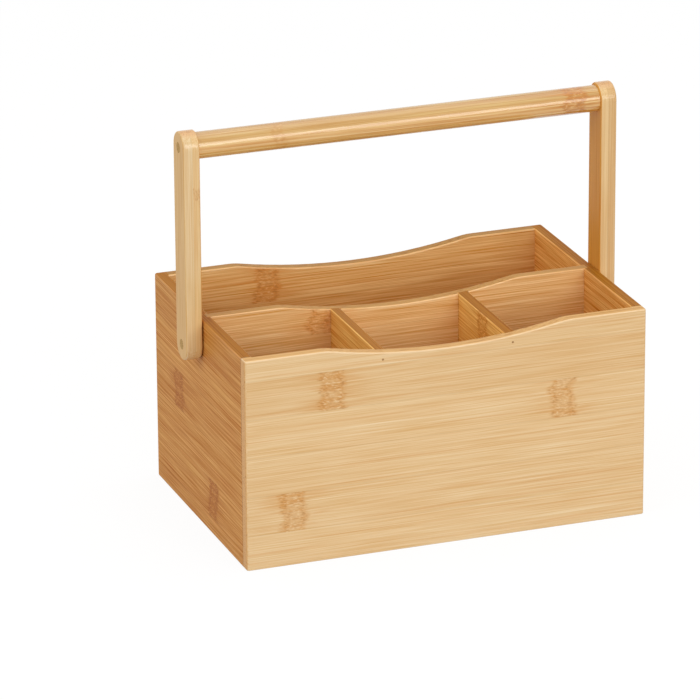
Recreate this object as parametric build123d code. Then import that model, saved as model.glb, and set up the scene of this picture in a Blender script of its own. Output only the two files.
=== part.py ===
from build123d import *
import math
import os

# Carry caddy for utensils, in bamboo board: a box with one long pocket behind and three
# pockets in front, and a handle that swings over it on two screws.
# Millimetres. +X right, +Y to the back, +Z up. Origin on the table, under the box's middle.

# ---- the box
box_width = 235.0             # outside, along X
box_depth = 155.0             # outside, along Y
box_height = 122.0            # table to the level shoulders of the rim
wall = 6.5                    # front, back and end panels
corner_round = 1.5            # upright outer corners
rim_round = 1.0               # outer and inner edges of the rim
foot_round = 0.6              # outer edges along the table

# ---- the dip in the rim of the front panel, the back panel and the long divider
dip_chord = 140.0             # its width at the shoulders' height
dip_depth = 7.0
dip_blend = 35.0              # radius that eases each shoulder into the dip

# ---- inside the box
base_thickness = 5.0
base_lift = 3.0               # air under the base, so that only the walls meet the table
divider_thickness = 6.0
divider_round = 0.8           # top edges of the dividers
board_housing = 2.5           # how deep the base and the long divider are let into the walls
cross_housing = 1.5           # how deep the cross dividers are let in at both ends
glue_line = 0.1               # space left round an edge that is let in

# ---- the handle
handle_height = 230.0         # table to the top of the arms
pivot_below_rim = 15.0
arm_width = 18.0              # front to back
arm_thickness = 9.5
arm_gap = 0.5                 # air between an arm and its end panel
arm_round = 1.2
bar_diameter = 15.0

# ---- screws under flush plugs, two in each arm
plug_diameter = 6.0
plug_clearance = 0.03         # radial, in its counterbore
plug_length = 2.6
counterbore_depth = 5.0
screw_head_diameter = 5.6
screw_head_height = 1.8
screw_diameter = 3.5
screw_length = 20.0           # under the head
screw_tip = 3.0               # length of the pointed end
running_clearance = 0.05      # radial, between the pivot screw and its arm
head_clearance = 0.15         # along X, under the pivot screw's head
drill_clearance = 0.03        # radial, round a screw or brad that is driven into wood

# ---- brads at both ends of each cross divider
brad_diameter = 1.2
brad_length = 18.0
brad_below_rim = 4.2          # under the rim at the divider's middle
brad_sink = 0.2               # end set under the surface

# ---- names of the pieces that come in copies
SIDES = {"left": -1, "right": 1}
CROSS_DIVIDERS = ("left", "right")    # in order along X, with a pocket on each side of each

# ---- worked out from the sizes above
half_width = box_width / 2
half_depth = box_depth / 2
inner_half_width = half_width - wall
inner_half_depth = half_depth - wall
base_top = base_lift + base_thickness
pivot_height = box_height - pivot_below_rim
bar_height = handle_height - arm_width / 2
arm_inside = half_width + arm_gap
arm_outside = arm_inside + arm_thickness
head_seat = arm_outside - counterbore_depth          # underside of a bar screw's head
pivot_head_seat = head_seat + head_clearance         # underside of a pivot screw's head
dip_radius = (dip_chord ** 2 / 4 + dip_depth ** 2) / (2 * dip_depth)
front_pockets = len(CROSS_DIVIDERS) + 1
pocket_width = (2 * inner_half_width - len(CROSS_DIVIDERS) * divider_thickness) / front_pockets

# ---- rows of brads: the face that they are driven into, and the way they run along Y
FRONT_ROW = (-half_depth, 1)
REAR_ROW = (divider_thickness / 2, -1)

# ---- for the cutting and the choice of edges
cutter_margin = 10.0          # how far a cutter runs past what it cuts
tolerance = 0.01              # two places nearer than this are the same


def block(x0, x1, y0, y1, z0, z1):
    """Box between two corners."""
    size = (abs(x1 - x0), abs(y1 - y0), abs(z1 - z0))
    return Pos((x0 + x1) / 2, (y0 + y1) / 2, (z0 + z1) / 2) * Box(*size)


def along_x(radius, x_start, x_end, z):
    """Round rod along X at mid depth."""
    return Pos((x_start + x_end) / 2, 0, z) * Rot(0, 90, 0) * Cylinder(radius, abs(x_end - x_start))


def along_y(radius, y_start, y_end, x, z):
    """Round rod along Y."""
    return Pos(x, (y_start + y_end) / 2, z) * Rot(90, 0, 0) * Cylinder(radius, abs(y_end - y_start))


def rim_height(x):
    """Height of the dipped rim at x, leaving out the blends at the shoulders."""
    if abs(x) > dip_chord / 2:
        return box_height
    return box_height - dip_depth + dip_radius - math.sqrt(dip_radius ** 2 - x ** 2)


def dip_cutter():
    """Everything above the rim: level over the shoulders, an arc across the dip."""
    half_chord = dip_chord / 2
    reach = half_width + cutter_margin
    top = box_height + 2 * cutter_margin
    left_end = (-reach, box_height)
    left_shoulder = (-half_chord, box_height)
    dip_floor = (0, box_height - dip_depth)
    right_shoulder = (half_chord, box_height)
    right_end = (reach, box_height)
    outline = Curve() + [
        Line(left_end, left_shoulder),
        ThreePointArc(left_shoulder, dip_floor, right_shoulder),
        Line(right_shoulder, right_end),
        Polyline(right_end, (reach, top), (-reach, top), left_end),
    ]
    face = make_face(outline)
    creases = [v for v in face.vertices() if abs(abs(v.X) - half_chord) < tolerance]
    face = fillet(creases, dip_blend)
    return extrude(Plane.XZ * face, amount=half_depth + cutter_margin, both=True)


def rim_edges(part, reach):
    """Edges along the rim, level or dipped, whose middle lies less than `reach` from x = 0."""
    found = []
    for edge in part.edges():
        middle = edge @ 0.5
        at_rim = middle.Z > box_height - dip_depth - tolerance
        runs_along_y = abs((edge % 0.5).Y) > 1 - tolerance
        crosses_rim = runs_along_y and abs(middle.X) < inner_half_width - tolerance
        if at_rim and not crosses_rim and abs(middle.X) < reach:
            found.append(edge)
    return found


def box_walls():
    """The four walls as they leave the sander, in one ring, before the joints divide it."""
    outer = Pos(0, 0, box_height / 2) * Box(box_width, box_depth, box_height)
    outer = fillet(outer.edges().filter_by(Axis.Z), corner_round)
    inner = Pos(0, 0, box_height / 2) * Box(
        2 * inner_half_width, 2 * inner_half_depth, box_height + 2 * cutter_margin
    )
    ring = outer - inner - dip_cutter()
    ring = fillet(rim_edges(ring, half_width + tolerance), rim_round)
    foot_edges = []
    for edge in ring.edges():
        middle = edge @ 0.5
        outside = (
            abs(middle.X) > inner_half_width + tolerance
            or abs(middle.Y) > inner_half_depth + tolerance
        )
        if middle.Z < tolerance and outside:
            foot_edges.append(edge)
    return fillet(foot_edges, foot_round)


def base_groove():
    """Space that the base takes in the four walls."""
    return block(
        -inner_half_width - board_housing, inner_half_width + board_housing,
        -inner_half_depth - board_housing, inner_half_depth + board_housing,
        base_lift - glue_line, base_top + glue_line,
    )


def cross_divider_places():
    """X of the middle of each cross divider, with pockets of one width between them."""
    first = -inner_half_width + pocket_width + divider_thickness / 2
    pitch = pocket_width + divider_thickness
    return [first + i * pitch for i in range(len(CROSS_DIVIDERS))]


def cross_divider_slots():
    """Space that the ends of the cross dividers take in the front panel and the long divider."""
    half = divider_thickness / 2 + glue_line
    slots = Part()
    for x in cross_divider_places():
        slots += block(
            x - half, x + half,
            -inner_half_depth - cross_housing, cross_housing - divider_thickness / 2,
            base_top, box_height + cutter_margin,
        )
    return slots


def rods_at_dividers(radius, y_start, y_end):
    """One rod along Y in each cross divider, a little under its top."""
    rods = Part()
    for x in cross_divider_places():
        rods += along_y(radius, y_start, y_end, x, rim_height(x) - brad_below_rim)
    return rods


def brads(y_face, inwards):
    """A row of brads, their ends set a little under the face."""
    start = y_face + inwards * brad_sink
    return rods_at_dividers(brad_diameter / 2, start, start + inwards * brad_length)


def brad_holes(y_face, inwards):
    """The ways that a row of brads is driven, open at the face."""
    start = y_face - inwards * cutter_margin
    end = y_face + inwards * (brad_sink + brad_length)
    return rods_at_dividers(brad_diameter / 2 + drill_clearance, start, end)


def screw(side, x_head, z):
    """Screw along X, head outwards, its underside at x_head, with a shank and a pointed end."""
    tip_start = screw_length - screw_tip
    outline = Polyline(
        (0, screw_head_height),
        (screw_head_diameter / 2, screw_head_height),
        (screw_head_diameter / 2, 0),
        (screw_diameter / 2, 0),
        (screw_diameter / 2, -tip_start),
        (0, -screw_length),
        (0, screw_head_height),
    )
    body = revolve(Plane.XZ * make_face(outline), Axis.Z)
    return Pos(side * x_head, 0, z) * Rot(0, side * 90, 0) * body


def screw_pair(x_head, z):
    """The same screw on the left and on the right."""
    return screw(-1, x_head, z) + screw(1, x_head, z)


def screw_way(side, x_head, z):
    """Drilled hole for a screw, from under its head to its point."""
    radius = screw_diameter / 2 + drill_clearance
    return along_x(radius, side * x_head, side * (x_head - screw_length), z)


def screw_ways(x_head, z):
    """The same hole on the left and on the right."""
    return screw_way(-1, x_head, z) + screw_way(1, x_head, z)


def front_panel(walls):
    """Laps over the ends of the end panels."""
    board = walls & block(
        -half_width, half_width, -half_depth, -inner_half_depth, 0, box_height
    )
    return board - base_groove() - cross_divider_slots() - brad_holes(*FRONT_ROW)


def back_panel(walls):
    """Stands between the end panels."""
    board = walls & block(
        -inner_half_width, inner_half_width, inner_half_depth, half_depth, 0, box_height
    )
    return board - base_groove()


def end_panel(walls, side):
    """Runs from the front panel's inner face right to the back."""
    board = walls & block(
        side * inner_half_width, side * half_width, -inner_half_depth, half_depth, 0, box_height
    )
    slot_half = divider_thickness / 2 + glue_line
    slot = block(
        0, side * (inner_half_width + board_housing), -slot_half, slot_half,
        base_top, box_height + cutter_margin,
    )
    return board - base_groove() - slot - screw_way(side, pivot_head_seat, pivot_height)


def base_panel():
    """Floor of the pockets, let into all four walls."""
    reach = board_housing - glue_line
    return block(
        -inner_half_width - reach, inner_half_width + reach,
        -inner_half_depth - reach, inner_half_depth + reach,
        base_lift, base_top,
    )


def long_divider():
    """Runs from end panel to end panel, with the same dip as the front and the back."""
    reach = inner_half_width + board_housing - glue_line
    half = divider_thickness / 2
    board = block(-reach, reach, -half, half, base_top, box_height) - dip_cutter()
    board = fillet(rim_edges(board, inner_half_width), divider_round)
    board -= cross_divider_slots()
    return board - brad_holes(*REAR_ROW) - screw_ways(pivot_head_seat, pivot_height)


def cross_divider(x):
    """Stands between the front panel and the long divider, its top sanded level with theirs."""
    half = divider_thickness / 2
    reach = cross_housing - glue_line
    board = block(
        x - half, x + half, -inner_half_depth - reach, reach - half, base_top, box_height
    ) - dip_cutter()
    top_edges = board.edges().filter_by(Axis.Y).sort_by(Axis.Z)[-2:]
    board = fillet(top_edges, divider_round)
    return board - brad_holes(*FRONT_ROW) - brad_holes(*REAR_ROW)


def handle_arm(side):
    """Flat bar with full round ends, counterbored twice from outside."""
    length = bar_height - pivot_height + arm_width
    middle = (bar_height + pivot_height) / 2
    outline = Plane.YZ * SlotOverall(length, arm_width, rotation=90)
    arm = Pos(0, 0, middle) * extrude(outline, amount=arm_thickness / 2, both=True)
    arm = fillet(arm.faces().filter_by(Axis.X).edges(), arm_round)
    arm = Pos(side * (arm_inside + arm_thickness / 2), 0, 0) * arm
    past_outside = side * (arm_outside + cutter_margin)
    for z in (pivot_height, bar_height):
        arm -= along_x(plug_diameter / 2, side * head_seat, past_outside, z)
    pivot_hole = screw_diameter / 2 + running_clearance
    arm -= along_x(pivot_hole, side * (arm_inside - cutter_margin), past_outside, pivot_height)
    return arm - screw_way(side, head_seat, bar_height)


def handle_bar():
    """Round bar between the arms, drilled at both ends."""
    bar = along_x(bar_diameter / 2, -arm_inside, arm_inside, bar_height)
    return bar - screw_ways(head_seat, bar_height)


def arm_plugs():
    """Flush plugs over the four screw heads."""
    radius = plug_diameter / 2 - plug_clearance
    plugs = Part()
    for side in SIDES.values():
        for z in (pivot_height, bar_height):
            plugs += along_x(radius, side * (arm_outside - plug_length), side * arm_outside, z)
    return plugs


def build():
    """Every node of the caddy, by name."""
    walls = box_walls()
    nodes = {
        "front_panel": front_panel(walls),
        "back_panel": back_panel(walls),
        "base_panel": base_panel(),
        "long_divider": long_divider(),
        "handle_bar": handle_bar(),
        "pivot_screws": screw_pair(pivot_head_seat, pivot_height),
        "bar_screws": screw_pair(head_seat, bar_height),
        "arm_plugs": arm_plugs(),
        "front_brads": brads(*FRONT_ROW),
        "divider_brads": brads(*REAR_ROW),
    }
    for name, side in SIDES.items():
        nodes[f"{name}_end_panel"] = end_panel(walls, side)
        nodes[f"{name}_handle_arm"] = handle_arm(side)
    for name, x in zip(CROSS_DIVIDERS, cross_divider_places()):
        nodes[f"{name}_cross_divider"] = cross_divider(x)
    return nodes


os.makedirs("parts", exist_ok=True)
for node, part in build().items():
    export_step(part, f"parts/{node}.step")
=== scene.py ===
import bmesh
import bpy
import math
from mathutils import Matrix, Vector

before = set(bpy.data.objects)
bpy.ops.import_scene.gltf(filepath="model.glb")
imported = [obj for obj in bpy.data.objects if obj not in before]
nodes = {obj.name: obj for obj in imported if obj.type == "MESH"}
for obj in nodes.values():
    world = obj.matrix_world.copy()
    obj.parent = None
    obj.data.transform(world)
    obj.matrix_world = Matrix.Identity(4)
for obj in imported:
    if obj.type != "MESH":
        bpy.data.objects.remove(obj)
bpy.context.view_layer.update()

AXES = "XYZ"
MM = 1000.0                     # millimetres in a metre: patterns are written in millimetres


# ---------------------------------------------------------------- how a finish is written
class Value:
    """A number that varies over a surface. An expression on values adds its Math nodes."""

    def __init__(self, owner, socket):
        self.owner = owner
        self.socket = socket

    def maths(self, operation, *others):
        node = self.owner.node("ShaderNodeMath", {"operation": operation}, [self, *others])
        return Value(self.owner, node.outputs[0])

    def __add__(self, other): return self.maths("ADD", other)
    def __radd__(self, other): return self.maths("ADD", other)
    def __sub__(self, other): return self.maths("SUBTRACT", other)
    def __rsub__(self, other): return (self * -1).maths("ADD", other)
    def __mul__(self, other): return self.maths("MULTIPLY", other)
    def __rmul__(self, other): return self.maths("MULTIPLY", other)
    def __truediv__(self, other): return self.maths("DIVIDE", other)

    def size(self): return self.maths("ABSOLUTE")
    def whole(self): return self.maths("FLOOR")
    def part(self): return self.maths("FRACT")
    def most(self, other): return self.maths("MAXIMUM", other)

    def rise(self, low, high):
        """0 below low, 1 above high and smooth between them."""
        node = self.owner.node(
            "ShaderNodeMapRange", {"interpolation_type": "SMOOTHSTEP"},
            {"Value": self, "From Min": low, "From Max": high},
        )
        return Value(self.owner, node.outputs[0])

    def fall(self, low, high):
        """1 below low, 0 above high and smooth between them."""
        return 1 - self.rise(low, high)


class Nodes:
    """The nodes of a material or of the world, cleared but for an output."""

    def __init__(self, owner, output_kind):
        owner.use_nodes = True
        self.tree = owner.node_tree
        self.tree.nodes.clear()
        self.output = self.tree.nodes.new(output_kind)

    def node(self, kind, settings=None, inputs=()):
        """Adds a node: its settings first, then the values or links of its sockets."""
        made = self.tree.nodes.new(kind)
        settings = dict(settings or {})
        stops = settings.pop("stops", None)
        for name, value in settings.items():
            setattr(made, name, value)
        if stops:
            ramp = made.color_ramp
            ramp.interpolation = "CONSTANT"
            while len(ramp.elements) < len(stops):
                ramp.elements.new(1.0)
            for element, (position, colour) in zip(ramp.elements, stops):
                element.position = position
                element.color = (*colour, 1.0)
        pairs = inputs.items() if isinstance(inputs, dict) else enumerate(inputs)
        for key, value in pairs:
            self.feed(made.inputs[key], value)
        return made

    def feed(self, socket, value):
        """Links a value or a socket, or sets a constant."""
        if isinstance(value, Value):
            value = value.socket
        if isinstance(value, bpy.types.NodeSocket):
            self.tree.links.new(value, socket)
        elif isinstance(socket.default_value, (int, float)):
            socket.default_value = value
        else:
            given = list(value)
            socket.default_value = given + [1.0] * (len(socket.default_value) - len(given))

    def seen(self):
        """1 on rays from the camera, on glossy rays and on transmission rays."""
        rays = self.node("ShaderNodeLightPath")
        found = Value(self, rays.outputs["Is Camera Ray"])
        for other in ("Is Glossy Ray", "Is Transmission Ray"):
            found = found.most(Value(self, rays.outputs[other]))
        return found

    def close(self, shader, seen_shader=None, share=1.0):
        """Links the shader to the output. Where it is seen, a share of it is seen_shader."""
        if seen_shader:
            shader = self.node("ShaderNodeMixShader", None, {
                0: self.seen() * share, 1: shader.outputs[0], 2: seen_shader.outputs[0],
            })
        self.tree.links.new(shader.outputs[0], self.output.inputs["Surface"])


class Finish(Nodes):
    """One material and the nodes that make it."""

    def __init__(self, name):
        self.material = bpy.data.materials.new(name)
        super().__init__(self.material, "ShaderNodeOutputMaterial")
        self.coordinates = self.node("ShaderNodeTexCoord")

    def place(self):
        """The three object coordinates, in millimetres, as values by axis letter."""
        scaled = self.node(
            "ShaderNodeVectorMath", {"operation": "SCALE"},
            {"Vector": self.coordinates.outputs["Object"], "Scale": MM},
        )
        split = self.node("ShaderNodeSeparateXYZ", None, [scaled.outputs[0]])
        return {axis: Value(self, split.outputs[axis]) for axis in AXES}

    def facing(self):
        """How squarely the surface faces each axis, by letter, from 0 to 1."""
        split = self.node("ShaderNodeSeparateXYZ", None, [self.coordinates.outputs["Normal"]])
        return {axis: Value(self, split.outputs[axis]).size() for axis in AXES}

    def noise(self, x, y, z, detail, roughness=0.5):
        """Smooth noise round 0, at a point that is already scaled to the pattern's size."""
        point = self.node("ShaderNodeCombineXYZ", None, [x, y, z])
        made = self.node("ShaderNodeTexNoise", {"noise_dimensions": "3D"}, {
            "Vector": point.outputs[0], "Scale": 1.0, "Detail": detail, "Roughness": roughness,
        })
        return Value(self, made.outputs[0]) - 0.5

    def cells(self, size, along, across, thick, shift=0.0, layer=0.0, detail=1.0,
              roughness=0.5):
        """Noise drawn out along the fibres: size is its length and its width.

        shift slides it along the fibres, and layer takes another layer of it.
        """
        length, width = size
        return self.noise(
            along / length + shift, across / width, thick / width + layer, detail, roughness
        )

    def mix(self, a, b, factor):
        """Colour a turned into colour b by factor."""
        made = self.node(
            "ShaderNodeMix", {"data_type": "RGBA", "clamp_factor": True}, {0: factor, 6: a, 7: b}
        )
        return made.outputs[2]

    def brighten(self, colour, factor):
        """Colour times a value."""
        made = self.node(
            "ShaderNodeVectorMath", {"operation": "SCALE"}, {"Vector": colour, "Scale": factor}
        )
        return made.outputs[0]

    def vary(self, colour, amount, swing):
        """Colour made paler or deeper by an amount near 0, each channel by its own swing."""
        change = self.node(
            "ShaderNodeVectorMath", {"operation": "SCALE"}, {"Vector": swing, "Scale": amount}
        )
        ratio = self.node(
            "ShaderNodeVectorMath", {"operation": "ADD"}, [change.outputs[0], (1.0, 1.0, 1.0)]
        )
        made = self.node(
            "ShaderNodeVectorMath", {"operation": "MULTIPLY"}, [colour, ratio.outputs[0]]
        )
        return made.outputs[0]

    def surface(self, colour, roughness, height, depth_mm=0.05, specular=0.25, coat=0.0,
                coat_roughness=0.25, metallic=0.0):
        """Closes the material: a Principled surface with a bump made of height."""
        bump = self.node(
            "ShaderNodeBump", None,
            {"Height": height, "Distance": depth_mm / MM, "Strength": 1.0},
        )
        self.close(self.node("ShaderNodeBsdfPrincipled", None, {
            "Base Color": colour,
            "Roughness": roughness,
            "Metallic": metallic,
            "Specular IOR Level": specular,
            "Coat Weight": coat,
            "Coat Roughness": coat_roughness,
            "Normal": bump.outputs[0],
        }))
        return self.material


# ---------------------------------------------------------------- bamboo
# colours of the boards
FRONT = (0.788, 0.535, 0.274)
BACK = (0.731, 0.417, 0.146)
DIVIDER = (0.832, 0.497, 0.202)
LEFT_END = (0.606, 0.265, 0.059)
RIGHT_END = (0.824, 0.41, 0.107)
CROSS = (0.874, 0.483, 0.124)

# of their edges, and of every end grain
EDGE = (0.74, 0.43, 0.15)
BACK_EDGE = (0.46, 0.225, 0.045)
DIVIDER_EDGE = (0.58, 0.30, 0.07)
END_EDGE = (0.44, 0.168, 0.012)
END = (0.72, 0.40, 0.15)

# of the arms: the narrow sides of each ply, then the broad faces
ARM = (0.765, 0.54, 0.276)
RIGHT_ARM = (0.68, 0.42, 0.17)
ARM_INNER = (0.77, 0.51, 0.228)
ARM_OUTSIDE = (0.713, 0.442, 0.178)
ARM_INSIDE = (0.687, 0.307, 0.046)

BAR = (0.73, 0.425, 0.143)
PLUG_DARK, PLUG_PALE = (0.36, 0.20, 0.055), (0.62, 0.39, 0.14)

# stains, and painted shade and highlight, by which a board's colour is multiplied
KNOT = (0.86, 0.64, 0.40)           # a knuckle on pale bamboo
DARK_KNOT = (0.76, 0.57, 0.38)      # on steamed, darker bamboo
BAR_KNOT = (0.76, 0.48, 0.10)       # and on the bar
BAR_TOP_SHADE = (0.76, 0.74, 0.58)        # painted shade along the top of the bar
# pale marks in knuckles, and the painted highlight on rounded edges
PALE_MARK_AND_HIGHLIGHT = (1.04, 1.10, 1.20)
BROWN_LINE = (0.62, 0.42, 0.24)

# how far red, green and blue go when a colour varies
FIBRE_SWING = (0.5, 1.0, 1.9)       # a fibre differs most in blue and least in red
BAND_SWING = (0.4, 1.0, 1.8)        # a broad band differs in warmth more than in brightness

# sizes of the patterns, along the fibres and across them
DRIFT = (130.0, 12.0)
LINE = (110.0, 0.6)
FIBRE = (34.0, 0.42)
BAND = (120.0, 2.4)
ARM_BAND = (90.0, 2.0)
BAR_BAND = (260.0, 1.7)
CLOUD = (50.0, 12.0)
VEIN = (150.0, 1.5)
PORE = (6.0, 0.55)
PLUG_PORE = (4.0, 0.5)
RAGGED = (8.0, 0.9)
TAIL = (25.0, 1.1)
DASH = (2.2, 0.85)

DRIFT_BY = 1.6                      # how far the fibres wander sideways
WANDER = 6.0                        # across the fibres, the size of a knuckle's bends
WANDER_BY, RAGGED_BY = 10.0, 9.0    # how far a knuckle bends, and how ragged its rim is
DASH_SLANT = 0.4
KNUCKLE_HALF = 7.0                  # half the width of a board's knuckle
STRIP_SHIFT = 37.3                  # slides the pattern from one strip to the next
SEAM_HALF = 0.3                     # half the width of a glue line between strips
JOINT_FADE = (0.15, 0.6)            # where the dark line at a joint starts to fade, and ends
POLISHED = 0.15                     # roughness of the coat on rounded edges and on the arms
NO_KNUCKLE = 400.0                  # a place off every board, for a strip without a knuckle
TABLE_SPAN = 1000.0                 # the table of strips holds places from -500 to 500 mm


def tint(colour, by):
    """Colour times another, channel by channel."""
    return tuple(c * k for c, k in zip(colour, by))


def grown(f, colour, along, across, thick, shift, streak):
    """Colour with the fibres drawn in: long thin lines and fine ones.

    Returns the colour, the noise of the long lines and that of the fine ones.
    """
    bent = across + f.cells(DRIFT, along, across, thick, shift) * DRIFT_BY
    lines = f.cells(LINE, along, bent, thick, shift, shift, 1.5, 0.6)
    fibres = f.cells(FIBRE, along, bent, thick, shift, shift, 1.5, 0.55)
    colour = f.vary(colour, (lines * 0.55 + fibres * 0.65) * streak, FIBRE_SWING)
    return colour, lines, fibres


def knuckle(f, colour, middle, along, across, thick, at, half, shift, depth, knot=KNOT):
    """Colour with a knuckle at a place along the fibres.

    It has two ragged darker columns, short dashes, and tails that run out along the fibres.
    Returns the colour and how far the dashes stand up.
    """
    # how far away its middle is, in half widths: 1 is its rim
    length, width = RAGGED
    wander = f.noise(across / WANDER + shift, thick / WANDER, shift, 1.0)
    ragged = f.noise(along / length, across / width + shift, thick / width, 2.0, 0.7)
    away = ((along - at + wander * WANDER_BY + ragged * RAGGED_BY) / half).size()
    inside = away.fall(0.6, 1.15)
    columns = away.rise(0.3, 0.8) * away.fall(0.85, 1.3)
    streaky = f.cells(TAIL, along, across, thick, shift)
    tails = away.fall(0.8, 4.0) * streaky.rise(-0.05, 0.15)

    length, width = DASH
    dashes = f.noise(
        along / length + shift + across * DASH_SLANT, across / width, thick / width, 1.0, 0.6
    )
    dark_dashes = (dashes * -1).rise(0.01, 0.15) * (inside * 0.5 + columns * 0.6)
    pale_dashes = dashes.rise(0.05, 0.19) * inside
    stain = (inside * 0.36 + columns * 0.34 + tails * 0.55) * depth
    colour = f.mix(colour, tint(middle, knot), stain)
    colour = f.mix(colour, tint(middle, BROWN_LINE), dark_dashes * 0.6 * depth)
    colour = f.mix(colour, tint(middle, PALE_MARK_AND_HIGHLIGHT), pale_dashes * 0.75)
    return colour, pale_dashes - dark_dashes


def end_grain(f, colour, along, across, thick, layer, on_end):
    """Colour with end grain and its brown pores where the surface is on_end."""
    pores = f.cells(PORE, along, across, thick, layer=layer, detail=2.0, roughness=0.6)
    pored = f.mix(END, tint(END, BROWN_LINE), (pores * -1).rise(0.04, 0.2))
    return f.mix(colour, pored, on_end)


def relief(lines, fibres, dashes):
    """Height of the bump on a flat board or arm."""
    return lines * 0.6 + fibres * 0.4 + dashes * 0.3


def strip(knuckle_at=NO_KNUCKLE, brightness=0.5, warmth=0.5):
    """One row of a board's table of strips."""
    return knuckle_at, brightness, warmth


def bamboo(name, grain, stack, strips, strip_width, first_strip, middle, edge, streak, seed,
           depth=1.0, edge_highlight_and_polish=0.4, knot=KNOT, gloss=0.25, joints=()):
    """Bamboo board glued from strips.

    grain is the axis that the fibres run along, stack the axis that the strips lie along.
    strips are the rows of its table, from the place first_strip up.
    middle and edge are the colours of its faces and of its edges.
    streak is the strength of the fibres, depth that of the knuckles and knot their stain.
    edge_highlight_and_polish is how strong the painted highlight and the polished coat on its
    rounded edges are, gloss the shine of the whole.
    joints are (axis, place) of the glue lines to its neighbours.
    """
    f = Finish(name)
    place = f.place()
    facing = f.facing()
    through = next(axis for axis in AXES if axis not in (grain, stack))
    along = place[grain]
    across = place[stack]
    thick = place[through]

    # which strip, and what the table says of it
    row = (across - first_strip) / strip_width
    index = row.whole()
    in_strip = row.part()
    stops = [
        (i / len(strips), ((at + TABLE_SPAN / 2) / TABLE_SPAN, brightness, warmth))
        for i, (at, brightness, warmth) in enumerate(strips)
    ]
    table = f.node(
        "ShaderNodeValToRGB", {"stops": stops}, [(index + 0.5) / len(strips)]
    )
    told = f.node("ShaderNodeSeparateColor", None, [table.outputs[0]])
    knuckle_at = Value(f, told.outputs[0]) * TABLE_SPAN - TABLE_SPAN / 2
    brightness = Value(f, told.outputs[1])
    warmth = Value(f, told.outputs[2])

    # fibres, each strip with its own piece of the pattern
    shift = index * STRIP_SHIFT + seed
    bands = f.cells(BAND, along, across, thick, shift, shift, 2.0)
    clouds = f.cells(CLOUD, along, across, thick, shift)
    colour = f.vary(middle, (0.5 - warmth) * 0.2 - bands * 0.26 - clouds * 0.14, BAND_SWING)
    veins = f.cells(VEIN, along, across, thick, shift, shift)
    colour = f.mix(colour, tint(middle, KNOT), veins.rise(0.08, 0.22) * 0.38)
    colour, lines, fibres = grown(f, colour, along, across, thick, shift, streak)
    colour, dashes = knuckle(
        f, colour, middle, along, across, thick, knuckle_at, KNUCKLE_HALF, shift, depth, knot
    )
    shade = 0.5 + brightness

    # the edges of the board, with a painted highlight where they are rounded over, and its end
    # grain
    on_edge = facing[stack].rise(0.80, 0.97)
    off_edge = facing[stack].fall(0.75, 0.95)
    painted_edge_highlight = facing[stack].rise(0.2, 0.5) * off_edge
    on_end = facing[grain].rise(0.6, 0.9)
    # painted highlight: the rounded edges made paler and brighter
    colour = f.mix(colour, tint(middle, PALE_MARK_AND_HIGHLIGHT), painted_edge_highlight * edge_highlight_and_polish)
    shade = shade * (1 + painted_edge_highlight * 0.12 * edge_highlight_and_polish)
    edge_lines = (lines * -1).rise(-0.02, 0.14)
    colour = f.mix(colour, f.mix(edge, tint(edge, BROWN_LINE), edge_lines * 0.6), on_edge)
    colour = end_grain(f, colour, along, across, thick, seed, on_end)

    # glue lines between strips and round the joints
    seam = (0.5 - (in_strip - 0.5).size()).fall(0.0, SEAM_HALF / strip_width)
    shade = shade * (1 - seam * 0.10 * (1 - on_end))
    for axis, at in joints:
        shade = shade * (1 - (place[axis] - at).size().fall(*JOINT_FADE) * 0.5)
    colour = f.brighten(colour, shade)

    polish = facing[stack].rise(0.08, 0.25) * off_edge
    return f.surface(
        colour, (0.52 - lines * 0.2).most(0.3), relief(lines, fibres, dashes),
        specular=gloss, coat=polish * edge_highlight_and_polish * 2, coat_roughness=POLISHED,
    )


def arm_bamboo(name, side_sign, outer, knuckle_at, seed):
    """Arm of two plies, the fibres upright, its broad faces deeper in colour than its edges."""
    f = Finish(name)
    place = f.place()
    facing = f.facing()
    x, y, z = place["X"], place["Y"], place["Z"]
    ply_seam = 122.5            # from the caddy's middle to the glue line between the plies
    from_seam = x * side_sign - ply_seam
    outer_ply = from_seam.rise(-0.25, 0.25)
    shift = outer_ply * 31 + seed
    bands = f.cells(ARM_BAND, z, x, y, shift, detail=1.5)
    on_face = facing["X"].rise(0.5, 0.8)
    outer_colour = f.mix(outer, ARM_OUTSIDE, on_face)
    inner_colour = f.mix(ARM_INNER, ARM_INSIDE, on_face)
    colour = f.mix(inner_colour, outer_colour, outer_ply)
    colour = f.vary(colour, bands * 0.45, BAND_SWING)
    colour, lines, fibres = grown(f, colour, z, x, y, shift, 0.9)

    # a small knuckle, on the inner ply alone
    at = outer_ply * NO_KNUCKLE + knuckle_at
    colour, dashes = knuckle(f, colour, outer, z, x, y, at, 3.0, shift, 0.9)
    colour = end_grain(f, colour, z, x, y, seed, facing["Z"].rise(0.7, 0.97))
    colour = f.brighten(colour, 1 - from_seam.size().fall(0.1, 0.4) * 0.08)
    return f.surface(
        colour, (0.5 - lines * 0.2).most(0.3), relief(lines, fibres, dashes),
        coat=(1 - on_face) * 0.8, coat_roughness=POLISHED,
    )


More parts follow.
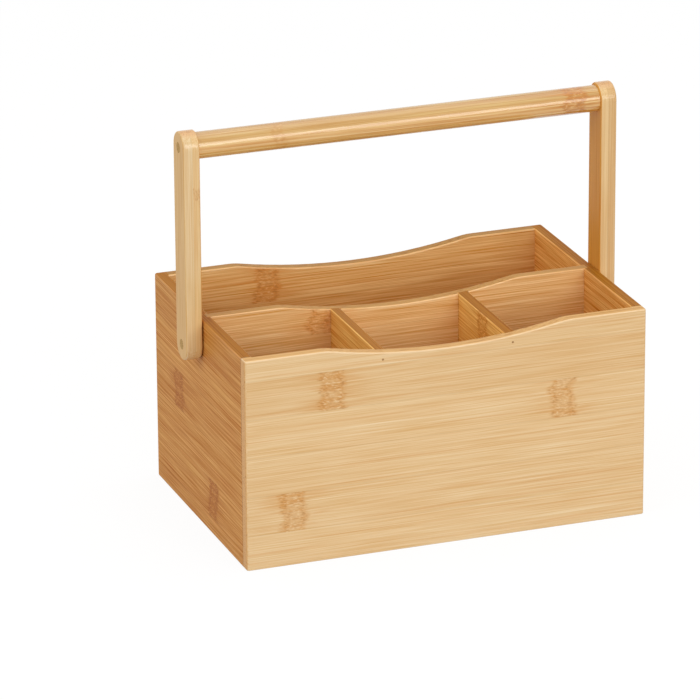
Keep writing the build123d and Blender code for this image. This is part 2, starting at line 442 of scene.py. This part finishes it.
def bar_bamboo():
    """Turned bar: pale and orange streaks lengthwise, painted shade along its top, two knuckles.
    """
    f = Finish("bar_bamboo")
    place = f.place()
    x, y, z = place["X"], place["Y"], place["Z"]
    bar_height = 221.0          # from the table to its middle
    bands = f.cells(BAR_BAND, x, y, z, detail=1.5)
    colour = f.vary(BAR, bands * 2.0, BAND_SWING)
    # painted shade: the top of the bar made darker than its middle
    top_strip = (z - bar_height).rise(0.5, 4.5)
    colour = f.mix(colour, tint(BAR, BAR_TOP_SHADE), top_strip * 0.75)
    colour, lines, fibres = grown(f, colour, x, y, z, 7.0, 1.8)

    # a deep knuckle near the right end and a faint one towards the left
    dashes = 0
    for at, half, depth in ((103.0, 6.0, 1.5), (-71.0, 3.5, 0.4)):
        colour, raised = knuckle(f, colour, BAR, x, y, z, at, half, at, depth, BAR_KNOT)
        dashes = raised + dashes
    height = lines * 0.5 + fibres * 0.5 + dashes * 0.3
    return f.surface(
        colour, (0.36 - lines * 0.4).most(0.2), height, depth_mm=0.04, specular=0.35,
        coat=1.0, coat_roughness=0.08,
    )


def plug_bamboo():
    """End grain of a small round plug."""
    f = Finish("plug_bamboo")
    place = f.place()
    pores = f.cells(PLUG_PORE, *place.values(), detail=2.0, roughness=0.7)
    colour = f.mix(PLUG_DARK, PLUG_PALE, (pores * 4 + 0.5).rise(0.0, 1.0))
    return f.surface(colour, 0.6, pores, specular=0.12)


# ---------------------------------------------------------------- steel
SCREW = (0.62, 0.61, 0.59)
BRAD = (0.40, 0.24, 0.11)
MOTTLE = (2.5, 0.5)
DARKER, LIGHTER = (0.8, 0.8, 0.8), (1.2, 1.2, 1.2)


def steel(name, colour, roughness):
    """Plated steel, faintly mottled and drawn along X."""
    f = Finish(name)
    place = f.place()
    mottle = f.cells(MOTTLE, *place.values(), detail=3.0, roughness=0.6)
    shade = f.mix(tint(colour, DARKER), tint(colour, LIGHTER), mottle + 0.5)
    return f.surface(
        shade, (roughness + mottle * 0.3).most(0.1), mottle, depth_mm=0.01, metallic=1.0
    )


# ---------------------------------------------------------------- dressing the nodes
def dress(node, material):
    """Gives a node its finish, in every one of its material slots."""
    mesh = nodes[node].data
    if not mesh.materials:
        mesh.materials.append(material)
    for slot in range(len(mesh.materials)):
        mesh.materials[slot] = material


half_depth, wall = 77.5, 6.5
front_joint = wall - half_depth         # where the end panels meet the front panel

dress("front_panel", bamboo(
    "front_bamboo", "X", "Z",
    [strip(brightness=0.51, warmth=0.30), strip(-91, 0.50, 0.45), strip(),
     strip(68, 0.50, 0.45), strip(-67, 0.48, 0.75), strip(brightness=0.49)],
    strip_width=22.5, first_strip=-2.5, middle=FRONT, edge=EDGE, streak=0.9, seed=3.0,
))
dress("back_panel", bamboo(
    "back_bamboo", "X", "Z",
    [strip(40), strip(-30), strip(85), strip(brightness=0.48, warmth=0.7), strip(-53),
     strip()],
    strip_width=23.0, first_strip=6.0, middle=BACK, edge=BACK_EDGE, streak=2.1, seed=11.0,
    depth=1.2,
))
dress("long_divider", bamboo(
    "long_divider_bamboo", "X", "Z",
    [strip(30), strip(-80), strip(60), strip(), strip(), strip(-47)],
    strip_width=22.5, first_strip=-9.0, middle=DIVIDER, edge=DIVIDER_EDGE, streak=1.95,
    seed=23.0, depth=1.2,
))
dress("base_panel", bamboo(
    "base_bamboo", "X", "Y",
    [strip(60), strip(-70), strip(10), strip(-100), strip(80), strip(-15), strip(40)],
    strip_width=22.5, first_strip=-78.75, middle=DIVIDER, edge=EDGE, streak=1.5, seed=71.0,
))

# side, its sign on X, end panel, outer ply of the arm, knuckle of the arm, and the top strip
# of the cross divider
SIDES = (
    ("left", -1, LEFT_END, ARM, 194.0, strip()),
    ("right", 1, RIGHT_END, RIGHT_ARM, NO_KNUCKLE, strip(-40)),
)
for side, sign, end_colour, arm_colour, arm_knuckle, top_strip in SIDES:
    dress(f"{side}_end_panel", bamboo(
        f"{side}_end_bamboo", "Y", "Z",
        [strip(brightness=0.51, warmth=0.4), strip(-22, 0.51, 0.35), strip(warmth=0.45),
         strip(36, 0.49, 0.6), strip(brightness=0.51, warmth=0.45),
         strip(brightness=0.465, warmth=0.7)],
        strip_width=22.6, first_strip=-13.0, middle=end_colour, edge=END_EDGE, streak=3.1,
        seed=40.0 + sign * 5, depth=1.3, edge_highlight_and_polish=0.15, knot=DARK_KNOT, gloss=0.1,
        joints=[("Y", front_joint)],
    ))
    dress(f"{side}_cross_divider", bamboo(
        f"{side}_cross_bamboo", "Y", "Z",
        [strip(), strip(-60), strip(), strip(-20), strip(), top_strip],
        strip_width=22.5, first_strip=-15.5, middle=CROSS, edge=END_EDGE, streak=2.4,
        seed=60.0 + sign * 7, depth=1.3, edge_highlight_and_polish=0.1, knot=DARK_KNOT, gloss=0.1,
    ))
    dress(f"{side}_handle_arm", arm_bamboo(
        f"{side}_arm_bamboo", sign, arm_colour, arm_knuckle, seed=80.0 + sign * 9,
    ))
dress("handle_bar", bar_bamboo())
dress("arm_plugs", plug_bamboo())

screw_steel = steel("screw_steel", SCREW, 0.35)
brad_steel = steel("brad_steel", BRAD, 0.6)
for node in ("pivot_screws", "bar_screws"):
    dress(node, screw_steel)
for node in ("front_brads", "divider_brads"):
    dress(node, brad_steel)


# ---------------------------------------------------------------- ground, light and camera
WHITE = (1.0, 1.0, 1.0)
GROUND_GREY = (0.60, 0.60, 0.60)
DAYLIGHT = (1.0, 0.99, 0.97)


def ground():
    """White table that runs on past the picture, with a soft shadow under the caddy."""
    half = 6.0                  # half its side, in metres
    mesh = bpy.data.meshes.new("ground")
    grid = bmesh.new()
    bmesh.ops.create_grid(grid, x_segments=1, y_segments=1, size=half)
    grid.to_mesh(mesh)
    grid.free()
    table = bpy.data.objects.new("ground", mesh)
    bpy.context.scene.collection.objects.link(table)

    # where it is seen it is mostly bare white, and the rest of it takes the shadow
    f = Finish("ground_white")
    matt = f.node("ShaderNodeBsdfDiffuse", None, {"Color": GROUND_GREY})
    bare = f.node("ShaderNodeEmission", None, {"Color": WHITE, "Strength": 1.085})
    f.close(matt, bare, share=0.85)
    mesh.materials.append(f.material)


def sky():
    """Even light from all round, and plain white where it is seen itself."""
    world = bpy.data.worlds.new("studio")
    bpy.context.scene.world = world
    air = Nodes(world, "ShaderNodeOutputWorld")
    light = air.node("ShaderNodeBackground", None, {"Color": DAYLIGHT, "Strength": 0.68})
    white = air.node("ShaderNodeBackground", None, {"Color": WHITE, "Strength": 1.0})
    air.close(light, white)


def softbox(name, place, aim_height, width, height, watts):
    """Rectangular lamp that points at a height above the middle of the caddy's foot."""
    lamp = bpy.data.lights.new(name, "AREA")
    lamp.shape = "RECTANGLE"
    lamp.size = width
    lamp.size_y = height
    lamp.energy = watts
    made = bpy.data.objects.new(name, lamp)
    made.location = place
    aim = Vector((0, 0, aim_height)) - Vector(place)
    made.rotation_euler = aim.to_track_quat("-Z", "Y").to_euler()
    bpy.context.scene.collection.objects.link(made)


def camera():
    """Long lens on the photograph's line of sight, with no shift."""
    azimuth = math.radians(-20.085)
    elevation = math.radians(20.258)
    roll = math.radians(-0.345)
    distance = 3.051451
    target = Vector((-0.028694, 0.0, 0.090488))
    focal_pixels = 5468.338
    picture_pixels = 700.0
    away = Vector((
        math.sin(azimuth) * math.cos(elevation),
        -math.cos(azimuth) * math.cos(elevation),
        math.sin(elevation),
    ))
    data = bpy.data.cameras.new("camera")
    data.sensor_fit = "HORIZONTAL"
    data.sensor_width = 36.0
    data.lens = focal_pixels / picture_pixels * data.sensor_width
    data.clip_start = 0.1
    data.clip_end = 50.0
    made = bpy.data.objects.new("camera", data)
    right = (-away).cross(Vector((0, 0, 1))).normalized()
    up = right.cross(-away)
    turned_right = math.cos(roll) * right + math.sin(roll) * up
    turned_up = -math.sin(roll) * right + math.cos(roll) * up
    turn = Matrix((turned_right, turned_up, away)).transposed()
    made.matrix_world = Matrix.Translation(target + away * distance) @ turn.to_4x4()
    bpy.context.scene.collection.objects.link(made)
    bpy.context.scene.camera = made


ground()
sky()
softbox("front_lamp", (0.25, -1.9, 0.75), 0.10, width=1.3, height=0.8, watts=13.2)
softbox("top_lamp", (0.3, 0.2, 1.6), 0.05, width=1.2, height=1.2, watts=4.5)
softbox("left_lamp", (-1.6, -0.2, 1.0), 0.10, width=1.0, height=0.9, watts=5.5)
camera()

bpy.context.scene.view_settings.view_transform = "Standard"
